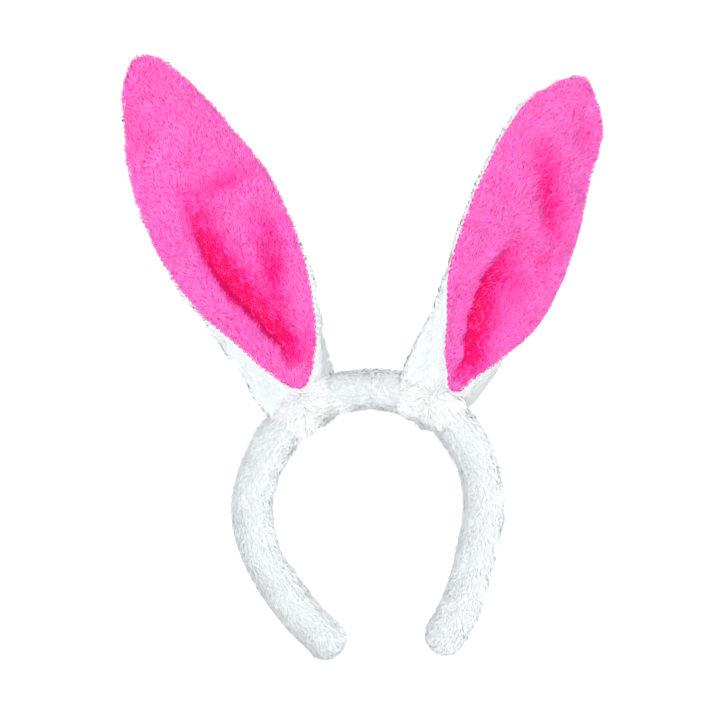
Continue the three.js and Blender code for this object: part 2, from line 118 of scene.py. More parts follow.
# Creases of the ears' fronts: points (across, height) of the bottom of the crease, its depth at each, the
# width of its left and right flanks, how far the ridge on its left stands up, and how far it laps over.
CREASES = {
    "left": (
        dict(line=((3, 24), (2, 40), (-4.5, 60), (-13.5, 84), (-16.7, 102), (-17, 118), (-15, 150)),
             depths=(1.5, 4.5, 6.5, 7, 5.8, 4.2, 1), left=3.3, right=11, lift=1.8, lap=0.7),
        dict(line=((3.5, 36), (10, 65), (17, 86), (22, 104), (22, 128)),
             depths=(1, 2.6, 3.1, 2.6, 0), left=9, right=7, lift=1, lap=0),
    ),
    "right": (
        dict(line=((4.5, 18), (5.2, 34), (3.8, 49), (-0.2, 66), (-2.9, 81), (2, 104), (5, 122)),
             depths=(1.5, 4.5, 6, 6.5, 5, 2, 0), left=2.8, right=13, lift=1.8, lap=0.8),
        dict(line=((2, 56), (6.5, 74), (15, 90), (22, 106)),
             depths=(0, 2.7, 2.3, 0), left=9, right=12, lift=0, lap=0),
        dict(line=((27, 116), (23, 128), (11.6, 147), (1, 164), (-4, 178)),
             depths=(0, 2.4, 3, 2.2, 0), left=11, right=11, lift=0.5, lap=0),
    ),
}
DIMPLES = {  # (across, height), depth or less than 0 for a swelling, half-width across, half-height
    "left": (((8, 143), 2.4, 22, 7), ((-25, 195), 1.0, 12, 12), ((15, 118), -1.8, 9, 20)),
    "right": (((20, 190), 1.4, 10, 10), ((30, 110), 1.2, 8, 26), ((7, 116), -1.6, 7, 12)),
}

RIDGES = {  # (across, height), how much longer the pile is, half-width across, half-height
    "left": (((-24, 60), 0.3, 8, 30), ((4, 110), 0.3, 10, 14)),
    "right": (((-4, 122), 0.7, 12, 22), ((34, 196), 0.5, 6, 12)),
}

# ------------------------ number helpers


def unit(v):
    return v / np.maximum(np.linalg.norm(v, axis=-1, keepdims=True), 1e-12)


def smoothstep(x, low, high):
    t = np.clip((x - low) / (high - low), 0, 1)
    return t * t * (3 - 2 * t)


def smooth_table(rows):
    """A function that reads a table smoothly by its first column and returns its other columns."""
    rows = np.array(rows, float)
    xs, ys = rows[:, 0], rows[:, 1:]
    slopes = np.gradient(ys, xs, axis=0)

    def read(x):
        x = np.clip(np.asarray(x, float), xs[0], xs[-1])
        i = np.clip(np.searchsorted(xs, x, side="right") - 1, 0, len(xs) - 2)
        gap = xs[i + 1] - xs[i]
        t = ((x - xs[i]) / gap)[..., None]
        run = gap[..., None]
        start = ys[i] * (1 + 2 * t) * (1 - t) ** 2 + slopes[i] * run * t * (1 - t) ** 2
        end = ys[i + 1] * t * t * (3 - 2 * t) + slopes[i + 1] * run * t * t * (t - 1)
        return start + end

    return read


def wobble(points, wavelength, seed, terms=7):
    """Smooth noise of about -1 to 1 at points, the same on every run."""
    rng = np.random.default_rng(seed)
    waves = unit(rng.normal(size=(terms, 3))) * rng.uniform(0.7, 1.5, (terms, 1)) * 2 * np.pi / wavelength
    return np.sin(points @ waves.T + rng.uniform(0, 2 * np.pi, terms)).sum(axis=-1) / math.sqrt(terms)


# ------------------------ mesh helpers


def new_object(name, vertices, faces, uniform_triangles=False):
    """A mesh object. vertices are in millimetres in the row frame."""
    mesh = bpy.data.meshes.new(name)
    if uniform_triangles:
        mesh.vertices.add(len(vertices))
        mesh.vertices.foreach_set("co", (vertices * MM).astype(np.float32).ravel())
        mesh.loops.add(faces.size)
        mesh.loops.foreach_set("vertex_index", faces.astype(np.int32).ravel())
        mesh.polygons.add(len(faces))
        mesh.polygons.foreach_set("loop_start", np.arange(0, faces.size, 3, dtype=np.int32))
        mesh.update(calc_edges=True)
    else:
        mesh.from_pydata((np.asarray(vertices) * MM).tolist(), [], faces)
    mesh.validate()
    mesh.shade_smooth()
    piece = bpy.data.objects.new(name, mesh)
    bpy.context.scene.collection.objects.link(piece)
    return piece


def grid_faces(rows, columns, closed=False):
    """Quads of a grid of points. A closed one joins its last column to its first."""
    faces = []
    for i in range(rows - 1):
        for j in range(columns if closed else columns - 1):
            k = (j + 1) % columns
            faces.append((i * columns + j, i * columns + k, (i + 1) * columns + k, (i + 1) * columns + j))
    return faces


def read_vectors(items, name, kind=float):
    """One row of three numbers for each vertex or triangle of a mesh."""
    values = np.zeros(len(items) * 3, kind)
    items.foreach_get(name, values)
    return values.reshape(-1, 3)


WELD_DISTANCE = 0.02


def apply_modifiers(piece):
    bpy.context.view_layer.update()
    graph = bpy.context.evaluated_depsgraph_get()
    mesh = bpy.data.meshes.new_from_object(piece.evaluated_get(graph))
    piece.modifiers.clear()
    piece.data = mesh
    return piece


def weld(piece):
    """Joins points that lie together, such as a tip's."""
    modifier = piece.modifiers.new("weld", "WELD")
    modifier.merge_threshold = WELD_DISTANCE * MM
    return apply_modifiers(piece)


def subdivide(piece):
    modifier = piece.modifiers.new("smooth", "SUBSURF")
    modifier.levels = modifier.render_levels = 1
    return apply_modifiers(piece)


def thicken(piece, thickness):
    """Gives a sheet its thickness, on the side away from its normals."""
    modifier = piece.modifiers.new("thickness", "SOLIDIFY")
    modifier.thickness = thickness * MM
    modifier.offset = -1
    return apply_modifiers(piece)


def face_away(piece, centre):
    """Turns the faces of a sheet so that they face away from a point, in millimetres."""
    mesh = piece.data
    out = sum((p.center - Vector(centre) * MM).dot(p.normal) * p.area for p in mesh.polygons)
    if out < 0:
        mesh.flip_normals()
    return piece


THREAD_SIDES = 6
THREAD_END = 0.35  # how blunt a stitch's ends are: 0 would bring them to a point


def rods(name, routes, radius):
    """One mesh of round-ended thread stitches. Each route is a list of points in millimetres."""
    sides = THREAD_SIDES
    vertices, faces = [], []
    for route in routes:
        route = np.asarray(route, float)
        tangents = unit(np.gradient(route, axis=0))
        across = unit(np.cross(tangents, [0.13, 0.71, 0.69]))
        up = np.cross(tangents, across)
        swell = np.sin(np.linspace(THREAD_END, math.pi - THREAD_END, len(route)))[:, None, None] ** 0.5
        turns = np.arange(sides) * 2 * np.pi / sides
        ring = across[:, None] * np.cos(turns)[None, :, None] + up[:, None] * np.sin(turns)[None, :, None]
        start = len(vertices)
        vertices.extend((route[:, None] + ring * radius * swell).reshape(-1, 3))
        faces.extend([[start + i for i in quad] for quad in grid_faces(len(route), sides, closed=True)])
        faces.append([start + i for i in range(sides)][::-1])
        faces.append([start + (len(route) - 1) * sides + i for i in range(sides)])
    return new_object(name, np.array(vertices), faces)


# ------------------------ materials


def principled(name, color, roughness, metallic=0.0, specular=0.5):
    material = bpy.data.materials.new(name)
    material.use_nodes = True
    shader = material.node_tree.nodes["Principled BSDF"]
    shader.inputs["Base Color"].default_value = (*color, 1)
    shader.inputs["Roughness"].default_value = roughness
    shader.inputs["Metallic"].default_value = metallic
    shader.inputs["Specular IOR Level"].default_value = specular
    return material


BROAD_TO_FINE = 9  # how much larger a mottled material's broad patches are than its fine ones
FINE_SHARE = 0.6  # of its colour's variation. The broad patches have the rest.


def mottled(name, dark, light, roughness, scale, bump, metallic=0.0, stretch=(1, 1, 1), specular=0.5):
    """A material whose colour and height vary with two sizes of noise.

    scale is in fine patches per metre and bump is their height in millimetres.
    """
    material = principled(name, light, roughness, metallic, specular)
    nodes, links = material.node_tree.nodes, material.node_tree.links
    shader = nodes["Principled BSDF"]
    place = nodes.new("ShaderNodeTexCoord")
    turn = nodes.new("ShaderNodeMapping")
    turn.inputs["Scale"].default_value = stretch
    fine = nodes.new("ShaderNodeTexNoise")
    fine.inputs["Scale"].default_value = scale
    fine.inputs["Detail"].default_value = 5
    broad = nodes.new("ShaderNodeTexNoise")
    broad.inputs["Scale"].default_value = scale / BROAD_TO_FINE
    mix = nodes.new("ShaderNodeMath")
    mix.operation = "MULTIPLY_ADD"
    mix.inputs[1].default_value = FINE_SHARE
    broad_part = nodes.new("ShaderNodeMath")
    broad_part.operation = "MULTIPLY"
    broad_part.inputs[1].default_value = 1 - FINE_SHARE
    ramp = nodes.new("ShaderNodeValToRGB")
    ramp.color_ramp.elements[0].position = 0.3
    ramp.color_ramp.elements[0].color = (*dark, 1)
    ramp.color_ramp.elements[1].position = 0.62
    ramp.color_ramp.elements[1].color = (*light, 1)
    raised = nodes.new("ShaderNodeBump")
    raised.inputs["Strength"].default_value = 0.6
    raised.inputs["Distance"].default_value = bump * MM
    links.new(place.outputs["Object"], turn.inputs["Vector"])
    for noise in (fine, broad):
        links.new(turn.outputs["Vector"], noise.inputs["Vector"])
    links.new(broad.outputs["Fac"], broad_part.inputs[0])
    links.new(fine.outputs["Fac"], mix.inputs[0])
    links.new(broad_part.outputs["Value"], mix.inputs[2])
    links.new(mix.outputs["Value"], ramp.inputs["Fac"])
    links.new(ramp.outputs["Color"], shader.inputs["Base Color"])
    links.new(fine.outputs["Fac"], raised.inputs["Height"])
    links.new(raised.outputs["Normal"], shader.inputs["Normal"])
    return material


# The pile's shades, from the darkest, which paints shade deep in a crease, to the lightest tips.
PINK_SHADES = [
    (1.0, 0.01, 0.18), (1.0, 0.022, 0.31), (1.0, 0.08, 0.45), (1.0, 0.145, 0.56),
    (1.0, 0.195, 0.64), (1.0, 0.25, 0.72),
]
WHITE_SHADES = [
    (0.80, 0.86, 0.88), (0.82, 0.875, 0.89), (0.845, 0.89, 0.905), (0.87, 0.91, 0.92), (0.93, 0.945, 0.95),
]


def pile_materials(name, shades):
    return [principled(f"{name}_{i}", shade, 0.9, specular=0.0) for i, shade in enumerate(shades)]


PINK_PILE = pile_materials("pink_pile", PINK_SHADES)
WHITE_PILE = pile_materials("white_pile", WHITE_SHADES)
# The backing cloths are darker than the pile, because little light reaches them.
PINK_CLOTH = mottled(
    "pink_plush_backing", dark=(0.95, 0.02, 0.26), light=(0.98, 0.12, 0.56), roughness=0.95, scale=900,
    bump=0.5, specular=0.0,
)
WHITE_CLOTH = mottled(
    "white_plush_backing", dark=(0.76, 0.8, 0.82), light=(0.84, 0.87, 0.88), roughness=0.95, scale=900,
    bump=0.5, specular=0.0,
)
WHITE_THREAD = mottled(
    "white_thread", dark=(0.6, 0.64, 0.66), light=(0.85, 0.87, 0.88), roughness=0.7, scale=2500, bump=0.15,
    stretch=(1, 1, 3),
)
PINK_THREAD = mottled(
    "pink_thread", dark=(0.6, 0.02, 0.2), light=(0.9, 0.08, 0.4), roughness=0.7, scale=2500, bump=0.15,
    stretch=(1, 1, 3),
)
CORE_PLASTIC = mottled(
    "core_plastic", dark=(0.66, 0.66, 0.62), light=(0.76, 0.76, 0.73), roughness=0.45, scale=400, bump=0.05,
)
WIRE_STEEL = mottled(
    "wire_steel", dark=(0.42, 0.42, 0.44), light=(0.62, 0.63, 0.65), roughness=0.35, scale=1500, bump=0.03,
    metallic=1.0,
)
STAGE = mottled(
    "stage_paper", dark=(0.955, 0.957, 0.96), light=(0.965, 0.967, 0.97), roughness=1.0, scale=60, bump=0.02,
)

# ------------------------ pile

STRAND_SIDES = 3
STRAND_WIDTH = 0.6
STRAND_SINK = 0.3  # how far a strand's root stands inside the cloth
CLUMP_AREA = 7  # square millimetres of cloth for each clump
CLUMP_PULL = (0.15, 0.45)  # how far strands lean over to their clump, from the loosest to the tightest
LENGTH_SPREAD = 0.16  # how much the strands' lengths differ, as a share
LEAN_SPREAD = 0.4  # how much the directions in which they lean differ
STAND_SPREAD = 0.3
LEVEL_SPREAD = 0.1  # how much their shades differ
SOFTNESS = 0.35  # how much a strand's own roundness shows: 0 would shade it like the surface under it
PLAIN_LEVEL = 0.55  # the shade where shade_at isn't given


def pile(name, base, count, length, shades, seed, flow, shade_at=None, bare_at=None, longer_at=None,
         rise=0.45, swirl=0.4):
    """Short tapered strands all over a piece's outer side, drawn together in small clumps.

    flow(points) is the direction in which they lean, rise is how steeply they stand, and swirl is how far
    their lean wanders. shade_at(points) gives 0 for the deepest shade to 1 for the lightest. bare_at(points)
    is true where no strand grows. longer_at(points) gives what each strand's length is multiplied by.
    """
    rng = np.random.default_rng(seed)
    mesh = base.data
    mesh.calc_loop_triangles()
    co = read_vectors(mesh.vertices, "co") / MM
    normals = read_vectors(mesh.vertices, "normal")
    triangles = read_vectors(mesh.loop_triangles, "vertices", np.int32)
    edge_a = co[triangles[:, 1]] - co[triangles[:, 0]]
    edge_b = co[triangles[:, 2]] - co[triangles[:, 0]]
    areas = np.linalg.norm(np.cross(edge_a, edge_b), axis=1) / 2
    chosen = rng.choice(len(triangles), count, p=areas / areas.sum())
    spread = rng.random((count, 2))
    flip = spread.sum(axis=1) > 1
    spread[flip] = 1 - spread[flip]
    roots = co[triangles[chosen, 0]] + edge_a[chosen] * spread[:, :1] + edge_b[chosen] * spread[:, 1:]
    weights = np.stack([1 - spread.sum(axis=1), spread[:, 0], spread[:, 1]], axis=1)
    out = unit((normals[triangles[chosen]] * weights[:, :, None]).sum(axis=1))
    if bare_at is not None:
        grows = ~bare_at(roots)
        roots, out, count = roots[grows], out[grows], int(grows.sum())

    wander = np.stack([wobble(roots, 18, seed + k) for k in (1, 2, 3)], axis=1)
    along = flow(roots) + swirl * wander + LEAN_SPREAD * rng.normal(size=(count, 3))
    along = unit(along - out * (along * out).sum(axis=1, keepdims=True))
    lengths = (length * np.clip(rng.normal(1, LENGTH_SPREAD, count), 0.6, 1.5))[:, None]
    if longer_at is not None:
        lengths = lengths * longer_at(roots)[:, None]
    stand = (rise * np.clip(rng.normal(1, STAND_SPREAD, count), 0.3, 2))[:, None]
    middle = roots + lengths * 0.5 * unit(out * (stand + 0.45) + along)
    tips = middle + lengths * 0.5 * unit(out * (stand - 0.25) + along)

    clumps = max(8, int(areas.sum() / CLUMP_AREA))
    leaders = rng.choice(count, min(clumps, count), replace=False)
    tree = kdtree.KDTree(len(leaders))
    for place, leader in enumerate(leaders):
        tree.insert(roots[leader], place)
    tree.balance()
    nearest = leaders[np.array([tree.find(root)[1] for root in roots])]
    pull = rng.uniform(*CLUMP_PULL, count)[:, None]
    tips += (tips[nearest] - tips) * pull
    middle += (middle[nearest] - middle) * pull * 0.35

    axis = unit(tips - roots)
    side = unit(np.cross(axis, out + 0.01))
    other = np.cross(axis, side)
    turns = np.arange(STRAND_SIDES) * 2 * np.pi / STRAND_SIDES
    ring = side[:, None] * np.cos(turns)[None, :, None] + other[:, None] * np.sin(turns)[None, :, None]
    half = (STRAND_WIDTH / 2 * rng.uniform(0.75, 1.25, count))[:, None, None]
    low = (roots - out * STRAND_SINK)[:, None] + ring * half
    mid = middle[:, None] + ring * half * 0.85
    vertices = np.concatenate([low, mid, tips[:, None]], axis=1).reshape(-1, 3)
    pattern = []
    for a in range(STRAND_SIDES):
        b = (a + 1) % STRAND_SIDES
        pattern += [(a, b, b + STRAND_SIDES), (a, b + STRAND_SIDES, a + STRAND_SIDES)]
        pattern.append((a + STRAND_SIDES, b + STRAND_SIDES, 2 * STRAND_SIDES))
    pattern.append(tuple(reversed(range(STRAND_SIDES))))
    pattern = np.array(pattern)
    step = 2 * STRAND_SIDES + 1
    faces = (pattern[None] + (np.arange(count) * step)[:, None, None]).reshape(-1, 3)
    piece = new_object(name, vertices, faces, uniform_triangles=True)
    # The strands catch the light much as the surface under them does, which makes the pile look soft.
    ring_normals = unit(out[:, None] + SOFTNESS * ring)
    soft = np.concatenate([ring_normals, ring_normals, out[:, None]], axis=1).reshape(-1, 3)
    piece.data.normals_split_custom_set_from_vertices(soft.tolist())
    for material in shades:
        piece.data.materials.append(material)
    level = np.full(count, PLAIN_LEVEL) if shade_at is None else shade_at(roots)
    level = level + 0.03 * wobble(roots, 26, seed + 9) + LEVEL_SPREAD * rng.normal(size=count)
    index = np.clip((level * len(shades)).astype(int), 0, len(shades) - 1)
    piece.data.polygons.foreach_set("material_index", np.repeat(index, len(pattern)).astype(np.int32))
    return piece


# ------------------------ band

BAND_SIDES = 48
BAND_STEP = 2.5
ARM_END_TURNS = (0, 14, 28, 42, 55, 67, 77, 84, 89)  # degrees round an arm's end at which it has sections
SEAM_ANGLE = math.pi + math.radians(SEAM_TURN)

# The CAD sleeve has flat sides and straight stretches. The height of the centre line at the top puts the
# middle of its inner flat at the origin.
CAD_SLEEVE_RADIUS = 11
CAD_SLEEVE_SIDES = 12
CAD_STEP = 9
TOP_RADIUS = BAND_ARCS[-1][0][0]
FIRST_SWEEP = CAD_STEP / 2 / TOP_RADIUS
INNER_FLAT = CAD_SLEEVE_RADIUS * math.cos(math.pi / CAD_SLEEVE_SIDES) * math.cos(FIRST_SWEEP)
BAND_TOP = INNER_FLAT + TOP_RADIUS * (1 - math.cos(FIRST_SWEEP))


def band_station(side, distance):
    """Centre, outward normal and tangent away from the top, at a distance from the top along one side."""
    across = down = heading = 0.0
    left = distance
    for radius, degrees in BAND_ARCS[side]:
        sweep = min(left / radius, math.radians(degrees))
        across += radius * (math.sin(heading + sweep) - math.sin(heading))
        down += radius * (math.cos(heading) - math.cos(heading + sweep))
        heading += sweep
        left -= radius * sweep
    across += left * math.cos(heading)
    down += left * math.sin(heading)
    centre = np.array([side * across, 0, BAND_TOP - down])
    normal = np.array([side * math.sin(heading), 0, math.cos(heading)])
    tangent = np.array([side * math.cos(heading), 0, -math.sin(heading)])
    return centre, normal, tangent


def signed_station(distance):
    """The same at a signed distance, negative to the left, with the tangent towards the right."""
    side = -1 if distance < 0 else 1
    centre, normal, tangent = band_station(side, abs(distance))
    return centre, normal, tangent * side


def station_arrays(stations):
    """The centres, normals and tangents of many stations."""
    return [np.array(values) for values in zip(*stations)]


def nearest_station(points, centres):
    """The number of the station nearest to each point, as seen from the front."""
    return np.argmin(((points[:, None, [0, 2]] - centres[None, :, [0, 2]]) ** 2).sum(axis=2), axis=1)


BACK = np.array([0, 1, 0])


def round_band(normal, angle):
    """The direction at an angle round the band, which is 0 on the outer side and 90 degrees at the back."""
    return np.cos(angle)[..., None] * normal + np.sin(angle)[..., None] * BACK


EAR_SIDES = {"left": -1, "right": 1}
ROOTS = {"left": 41.0, "right": 34.5}  # distance along the band from the top to each ear's root


def sleeve_radius(side, distance, turn):
    """The backing cloth's radius, where turn is the angle round the band."""
    root = ROOTS["left" if side < 0 else "right"]
    away = np.abs(distance - root)
    radius = CLOTH_RADIUS - (CLOTH_RADIUS - CINCHED_RADIUS) * (1 - smoothstep(away, 12, 22))
    radius += 0.5 * np.exp(-(((away - 24) / 7) ** 2))  # it bulges beside the wraps
    to_end = BAND_LENGTH[side] - distance
    past = np.clip(1 - to_end / CLOTH_RADIUS, 0, 1)  # how far round the arm's end
    radius = radius * np.sqrt(np.maximum(0, 1 - past**2.3))
    gathers = 0.35 * np.sin(9 * turn + 1.3) * np.clip(past * 1.6, 0, 1) * np.clip(3 * (1 - past), 0, 1)
    off_seam = (turn - SEAM_ANGLE + math.pi) % (2 * math.pi) - math.pi
    groove = -0.7 * np.exp(-((off_seam * CLOTH_RADIUS / 1.3) ** 2)) * np.clip((to_end - 4) / 8, 0, 1)
    return radius + gathers + groove


def make_sleeve(name, side):
    end = BAND_LENGTH[side]
    distances = list(np.arange(0, end - 12, BAND_STEP))
    distances += [end - CLOTH_RADIUS * (1 - math.sin(math.radians(t))) for t in ARM_END_TURNS]
    turns = np.arange(BAND_SIDES) * 2 * np.pi / BAND_SIDES
    rings = []
    for distance in distances:
        centre, normal, _ = band_station(side, distance)
        radius = sleeve_radius(side, distance, turns)[:, None]
        rings.append(centre + radius * round_band(normal, turns))
    points = np.array(rings)
    axis = np.array([band_station(side, d)[0] for d in distances])
    out = unit(points - axis[:, None])
    lumps = 0.4 * wobble(points, 46, 11 if side < 0 else 12) + 0.2 * wobble(points, 19, 21)
    fade = np.clip((end - np.array(distances)) / 12, 0, 1) * np.clip(np.array(distances) / 6, 0, 1)
    points += out * (lumps * fade[:, None])[..., None]
    faces = grid_faces(len(distances), BAND_SIDES, closed=True)
    last = (len(distances) - 1) * BAND_SIDES
    faces.append(list(range(last, last + BAND_SIDES)))
    piece = new_object(name, points.reshape(-1, 3), faces)
    face_away(piece, axis[len(axis) // 2])
    return subdivide(piece)


def band_flow(side):
    """The pile leans along the band, away from the top."""
    samples = np.arange(0, BAND_LENGTH[side] + 1, 4.0)
    centres, _, tangents = station_arrays(band_station(side, d) for d in samples)

    def flow(points):
        nearest = nearest_station(points, centres)
        return tangents[nearest] * smoothstep(samples[nearest], 2, 30)[:, None]

    return flow


def seam_bare(side):
    """The pile parts along the sleeve's seam, from the top to near the arm's end."""
    samples = np.arange(0, BAND_LENGTH[side] - 9, 2.0)
    centres, normals, _ = station_arrays(band_station(side, d) for d in samples)

    def bare(points):
        nearest = nearest_station(points, centres)
        off = points - centres[nearest]
        angle = np.arctan2(off[:, 1], (off * normals[nearest]).sum(axis=1))
        away = (angle - SEAM_ANGLE + math.pi) % (2 * math.pi) - math.pi
        in_reach = nearest < len(samples) - 1
        return (np.abs(away) * CLOTH_RADIUS < PARTING_HALF_WIDTH) & in_reach

    return bare


def flex_ends(side):
    """Points on the band's centre line FLEX_REACH to each side of an arm's flex line, in metres."""
    start = band_station(side, FLEX_AT - FLEX_REACH)[0]
    end = band_station(side, FLEX_AT + FLEX_REACH)[0]
    return start * MM, end * MM


STITCH_EVERY = 3.4  # along the sleeve's seam
SEAM_THREAD = 0.3  # radius of the sleeve's thread
END_THREAD = 0.32


def seam_stitches(name, side):
    """Ladder stitches down the sleeve's seam, from the ear's wrap to near the arm's end."""
    place = "left" if side < 0 else "right"
    routes = []
    for k, distance in enumerate(np.arange(ROOTS[place] + 18, BAND_LENGTH[side] - 16, STITCH_EVERY)):
        route = []
        for t in np.linspace(-1, 1, 5):
            centre, normal, _ = band_station(side, distance + 1.2 * t * (1 if k % 2 else -1))
            angle = SEAM_ANGLE + 0.13 * t
            surface = float(sleeve_radius(side, distance, np.array([SEAM_ANGLE]))[0])
            radius = surface + 0.7 + 0.35 * (1 - t * t)
            route.append(centre + radius * round_band(normal, angle))
        routes.append(route)
    return rods(name, routes, SEAM_THREAD)


def end_stitches(name, side):
    """Gathering stitches that draw the arm's end together, as a star across its middle."""
    centre, normal, tangent = band_station(side, BAND_LENGTH[side])
    count, half_length, bow, stand = 5, 3.6, 0.9, 0.35
    routes = []
    for k in range(count):
        across = round_band(normal, math.pi * k / count + 0.2)
        along = np.linspace(-1, 1, 7)
        routes.append([centre + across * half_length * t - tangent * (bow * t * t - stand) for t in along])
    return rods(name, routes, END_THREAD)


# ------------------------ ears


class Ear:
    """An ear's own frame, taken from its joints: x to the right, y back and z up the ear, in millimetres."""

    def __init__(self, place):
        self.place = place
        tilt, fold = JOINTS[f"{place}_ear_tilt"], JOINTS[f"{place}_ear_fold"]
        self.root = np.array(tilt["pos_m"]) / MM
        self.x = unit(np.array(fold["axis"], float))
        reach = unit(np.array(fold["pos_m"]) / MM - self.root)
        angle = math.atan2(FOLD_BEHIND, FOLD_AT)
        # The fold's axis lies a little behind the middle plane, so the ear's own direction is turned from it.
        self.z = unit(reach * math.cos(angle) + np.cross(self.x, reach) * math.sin(angle))
        self.y = np.cross(self.z, self.x)
        self.pattern = smooth_table(PATTERNS[place])
        self.tip = PATTERNS[place][-1][0]
        self.depths = smooth_table(DEPTHS)
        self.fold = np.array(fold["pos_m"])

    def world(self, local):
        """Local points in millimetres to the row frame, drooping along the band near the root."""
        fade = 1 - smoothstep(local[..., 2], EAR_BASE, DROOP_FADES_AT)
        height = local[..., 2] - EAR_DROOP * fade * (local[..., 0] / EAR_CORNER) ** 2
        x, y = local[..., 0], local[..., 1]
        return self.root + x[..., None] * self.x + y[..., None] * self.y + height[..., None] * self.z

    def local(self, points):
        off = points - self.root
        return np.stack([off @ self.x, off @ self.y, off @ self.z], axis=-1)

    def section(self, heights):
        seam_left, seam_right, body_left, body_right = np.moveaxis(self.pattern(heights), -1, 0)
        front, back, dip = np.moveaxis(self.depths(heights * (DEPTHS[-1][0] / self.tip)), -1, 0)
        middle, half = (body_left + body_right) / 2, (body_right - body_left) / 2
        return seam_left, seam_right, front, back, dip, middle, half

    def seam_turn(self, seam, middle, half):
        return np.arccos(np.clip((seam - middle) / half, -1, 1))

    def face_grid(self, heights, columns):
        """The front between its seams: rows by height, columns from left to right, in the ear's frame."""
        seam_left, seam_right, front, _, dip, middle, half = (v[:, None] for v in self.section(heights))
        f = np.linspace(0, 1, columns)[None, :]
        x = seam_left - FACE_OVERHANG + (seam_right - seam_left + 2 * FACE_OVERHANG) * f
        low = -front * np.sin(self.seam_turn(seam_left, middle, half))
        high = -front * np.sin(self.seam_turn(seam_right, middle, half))
        arch = np.sin(np.pi * f)
        y = low + (high - low) * f - PLUSH * np.minimum(1, arch * 2.2) ** 0.5 + dip * arch**1.5
        return np.stack([x, y, np.broadcast_to(heights[:, None], x.shape)], axis=-1)

    def shell_grid(self, heights, columns):
        """The back panel, from the right seam round behind to the left seam."""
        seam_left, seam_right, front, back, _, middle, half = (v[:, None] for v in self.section(heights))
        start = -self.seam_turn(seam_right, middle, half)
        end = 2 * np.pi - self.seam_turn(seam_left, middle, half)
        turn = start + (end - start) * np.linspace(0, 1, columns)[None, :]
        depth = np.where(np.sin(turn) > 0, back, front)
        x = middle + half * np.cos(turn)
        y = depth * np.sin(turn)
        return np.stack([x, y, np.broadcast_to(heights[:, None], x.shape)], axis=-1)


FACE_COLUMNS = 21
FACE_OVERHANG = 0.7  # the front stands out past its seams
SHELL_COLUMNS = 29
PUFF_CAP = 4.0  # no point moves further than this
PUFF_PRESSURE = 4
PUFF_FRAMES = 20


def puff(ear, heights):
    """How far the filling swells the ear's front and back in a cloth simulation, in the ear's frame."""
    face = ear.face_grid(heights, FACE_COLUMNS)
    shell = ear.shell_grid(heights, SHELL_COLUMNS)
    # The ring runs along the front from the left seam to the right one, and then round the back.
    ring = np.concatenate([face, shell[:, 1:-1]], axis=1)
    rows, columns = ring.shape[:2]
    faces = grid_faces(rows, columns, closed=True)
    faces += [list(range(columns)), list(range((rows - 1) * columns, rows * columns))[::-1]]
    bag = new_object(f"{ear.place}_ear_bag", ring.reshape(-1, 3), faces)
    face_away(bag, ring.mean(axis=(0, 1)))
    pinned = bag.vertex_groups.new(name="pinned")
    held = [i * columns + j for i in range(rows) for j in (0, FACE_COLUMNS - 1)]
    held += list(range(2 * columns)) + list(range((rows - 1) * columns, rows * columns))
    pinned.add(sorted(set(held)), 1.0, "REPLACE")
    cloth = bag.modifiers.new("cloth", "CLOTH")
    settings = cloth.settings
    settings.quality = 6
    settings.mass = 0.15
    settings.tension_stiffness = settings.compression_stiffness = 12
    settings.shear_stiffness = 4
    settings.bending_stiffness = 0.4
    settings.shrink_min = -0.035
    settings.use_pressure = True
    settings.uniform_pressure_force = PUFF_PRESSURE
    settings.effector_weights.gravity = 0
    settings.vertex_group_mass = "pinned"
    scene = bpy.context.scene
    for number in range(1, PUFF_FRAMES + 1):
        scene.frame_set(number)
    graph = bpy.context.evaluated_depsgraph_get()
    swollen = bag.evaluated_get(graph).to_mesh()
    moved = read_vectors(swollen.vertices, "co").reshape(rows, columns, 3) / MM - ring
    scene.frame_set(1)
    bpy.data.objects.remove(bag)
    size = np.linalg.norm(moved, axis=-1, keepdims=True)
    moved *= np.minimum(1, PUFF_CAP / np.maximum(size, 1e-9))
    back = np.concatenate([moved[:, FACE_COLUMNS - 1 :], moved[:, :1]], axis=1)
    return moved[:, :FACE_COLUMNS], back


def finer(grid, rows, columns):
    """A grid of values read at more rows and columns."""
    old_rows, old_columns = grid.shape[:2]
    at = np.linspace(0, old_columns - 1, columns)
    left = np.minimum(at.astype(int), old_columns - 2)
    grid = grid[:, left] + (grid[:, left + 1] - grid[:, left]) * (at - left)[None, :, None]
    at = np.linspace(0, old_rows - 1, rows)
    low = np.minimum(at.astype(int), old_rows - 2)
    return grid[low] + (grid[low + 1] - grid[low]) * (at - low)[:, None, None]


# Painted shade: a crease this deep gives the pile its deepest pink.
FULL_SHADE_DEPTH = 7  # depth of crease that counts as 1


